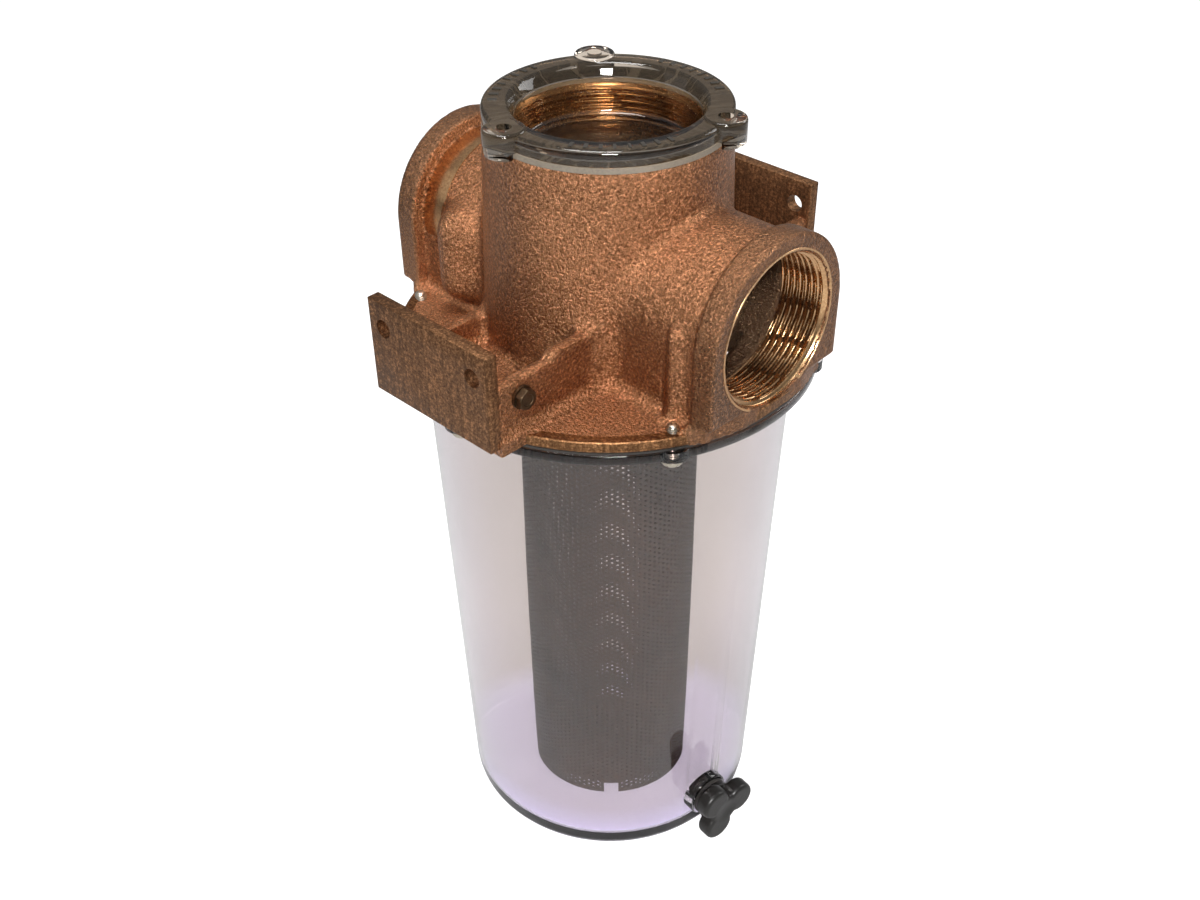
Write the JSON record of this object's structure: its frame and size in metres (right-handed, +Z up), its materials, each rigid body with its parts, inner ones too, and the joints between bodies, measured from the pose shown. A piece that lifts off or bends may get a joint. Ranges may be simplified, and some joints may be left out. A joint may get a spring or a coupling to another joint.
{
  "type": "sea water strainer",
  "caption": "Bronze sea water strainer with clear sight bowl, perforated basket, screw-in clear cap, threaded side ports, bracket plates and a black drain plug.",
  "frame": {"origin": "centre of the bowl's flat underside, the plane that the part stands on", "axes": "+X out of the outlet port, Y towards the mounting plates (the plate with the bonding bolt is at -Y), +Z up through the service cap"},
  "size_m": [0.2022, 0.2214, 0.403],
  "materials": {
    "bronze": "sand-cast bronze, rough; machined threads and plate faces",
    "clear_cap": "clear, glossy",
    "clear_bowl": "clear, glossy",
    "cap_seal_clear": "pale, see-through, satin",
    "seal_rubber": "matte",
    "stainless": "satin",
    "basket_steel": "satin perforated sheet",
    "plug_plastic": "satin moulded"
  },
  "bodies": {
    "housing": {"body_casting": "bronze", "sight_bowl": "clear_bowl", "bowl_gasket": "seal_rubber", "basket_screen": "basket_steel", "basket_floor": "basket_steel", "basket_top_ring": "basket_steel", "bowl_washer_1": "stainless", "bowl_washer_2": "stainless", "bowl_washer_3": "stainless", "bowl_washer_4": "stainless", "bowl_washer_5": "stainless", "bowl_washer_6": "stainless", "bowl_screw_1": "stainless", "bowl_screw_2": "stainless", "bowl_screw_3": "stainless", "bowl_screw_4": "stainless", "bowl_screw_5": "stainless", "bowl_screw_6": "stainless", "bonding_bolt": "stainless", "lock_washer": "stainless"},
    "cap_seal": {"cap_gasket": "cap_seal_clear"},
    "cap": {"service_cap": "clear_cap"},
    "plug_seal": {"drain_seal": "seal_rubber"},
    "plug": {"drain_plug": "plug_plastic"}
  },
  "joints": [
    {"name": "cap_lift", "type": "slide", "parent": "housing", "child": "cap_seal", "axis": [0, 0, 1], "range_m": [0, 0.0175]},
    {"name": "cap_turn", "type": "hinge", "parent": "cap_seal", "child": "cap", "pos_m": [0, 0, 0.3984], "axis": [0, 0, 1], "range_deg": [0, 1985]},
    {"name": "plug_draw", "type": "slide", "parent": "housing", "child": "plug_seal", "axis": [0.9914, -0.1305, 0], "range_m": [0, 0.008]},
    {"name": "plug_turn", "type": "hinge", "parent": "plug_seal", "child": "plug", "pos_m": [0.08745, -0.01151, 0.027], "axis": [0.9914, -0.1305, 0], "range_deg": [0, 2042]}
  ],
  "couplings": [
    {"joint": "cap_turn", "follows": "cap_lift", "rad_per_m": 1979},
    {"joint": "plug_turn", "follows": "plug_draw", "rad_per_m": 4452.7}
  ]
}
